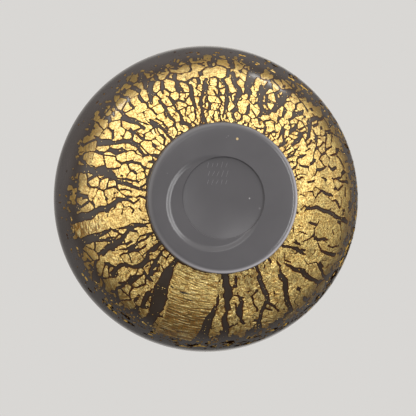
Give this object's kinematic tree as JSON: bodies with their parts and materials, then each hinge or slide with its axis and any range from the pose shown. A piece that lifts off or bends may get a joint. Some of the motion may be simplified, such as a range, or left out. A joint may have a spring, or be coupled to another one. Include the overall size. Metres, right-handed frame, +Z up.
{
  "type": "sake cup",
  "caption": "Low round sake cup of smoky grey glass with crackled gold leaf under a clear gloss, open on top and standing on a solid round foot.",
  "frame": {"origin": "on the cup's axis, in the plane of the ring that the foot stands on", "axes": "+Z up along the cup's axis of symmetry, out of the mouth; X and Y are alike"},
  "size_m": [0.09, 0.09, 0.038],
  "materials": {
    "smoky_glass": "opaque smoky grey blown glass, satin on the foot and glossy on the bowl",
    "gold_leaf": "crumpled and crackled gold leaf under clear glass"
  },
  "bodies": {
    "root": {"sake_cup": "smoky_glass"}
  },
  "joints": []
}
